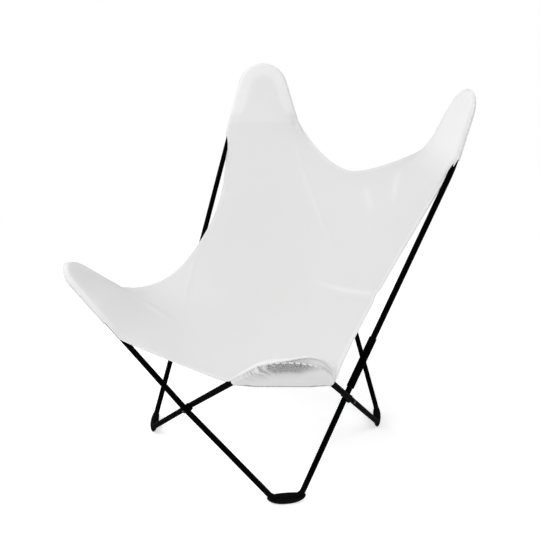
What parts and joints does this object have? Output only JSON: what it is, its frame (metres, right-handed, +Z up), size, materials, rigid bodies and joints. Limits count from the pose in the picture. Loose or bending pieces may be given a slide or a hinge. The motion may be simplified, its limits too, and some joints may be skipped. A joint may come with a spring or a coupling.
{
  "type": "butterfly sling chair",
  "caption": "Low lounge chair: bent dark steel rods cross in a knock-down frame, and a pale canvas sling hangs by corner pockets from the rod hoops.",
  "frame": {"origin": "on the floor, in the plane that parts the left half from the right, below the middle of the chair's depth", "axes": "+Z up, -Y the way the sitter faces, +X towards the sitter's left hand, the right side of the chair as seen from the front"},
  "size_m": [0.7796, 0.7708, 0.9228],
  "materials": {
    "frame_paint": "near-black satin powder coat with a fine texture",
    "sleeve_paint": "near-black satin powder coat, rubbed a little on the end chamfers",
    "blackened_steel": "blackened steel with a dull sheen",
    "moulded_plastic": "matt black moulded plastic",
    "canvas": "pale grey heavy cotton canvas, plain weave, with stitched hems"
  },
  "bodies": {
    "frame": {"right_lower_rod": "frame_paint", "left_lower_rod": "frame_paint", "right_back_hoop": "frame_paint", "left_back_hoop": "frame_paint", "front_bolt": "blackened_steel", "back_bolt": "blackened_steel", "right_bolt": "blackened_steel", "left_bolt": "blackened_steel", "front_nut": "blackened_steel", "back_nut": "blackened_steel", "right_nut": "blackened_steel", "left_nut": "blackened_steel", "front_spacer": "moulded_plastic", "back_spacer": "moulded_plastic", "right_spacer": "moulded_plastic", "left_spacer": "moulded_plastic", "front_right_shoe": "moulded_plastic", "front_left_shoe": "moulded_plastic", "back_right_shoe": "moulded_plastic", "back_left_shoe": "moulded_plastic", "sling_seat_panel": "canvas", "sling_back_panel": "canvas", "front_right_pocket": "canvas", "front_left_pocket": "canvas", "back_right_pocket": "canvas", "back_left_pocket": "canvas"},
    "right_side_coupler": {"right_side_sleeve": "sleeve_paint"},
    "left_side_coupler": {"left_side_sleeve": "sleeve_paint"},
    "right_back_coupler": {"right_back_sleeve": "sleeve_paint"},
    "left_back_coupler": {"left_back_sleeve": "sleeve_paint"}
  },
  "joints": [
    {"name": "right_side_sleeve_slide", "type": "slide", "parent": "frame", "child": "right_side_coupler", "axis": [0.1157, 0.4971, 0.86], "range_m": [0, 0.08]},
    {"name": "left_side_sleeve_slide", "type": "slide", "parent": "frame", "child": "left_side_coupler", "axis": [-0.1157, 0.4971, 0.86], "range_m": [0, 0.08]},
    {"name": "right_back_sleeve_slide", "type": "slide", "parent": "frame", "child": "right_back_coupler", "axis": [0.487, 0.1519, 0.8601], "range_m": [0, 0.08]},
    {"name": "left_back_sleeve_slide", "type": "slide", "parent": "frame", "child": "left_back_coupler", "axis": [-0.487, 0.1302, 0.8636], "range_m": [0, 0.08]}
  ]
}
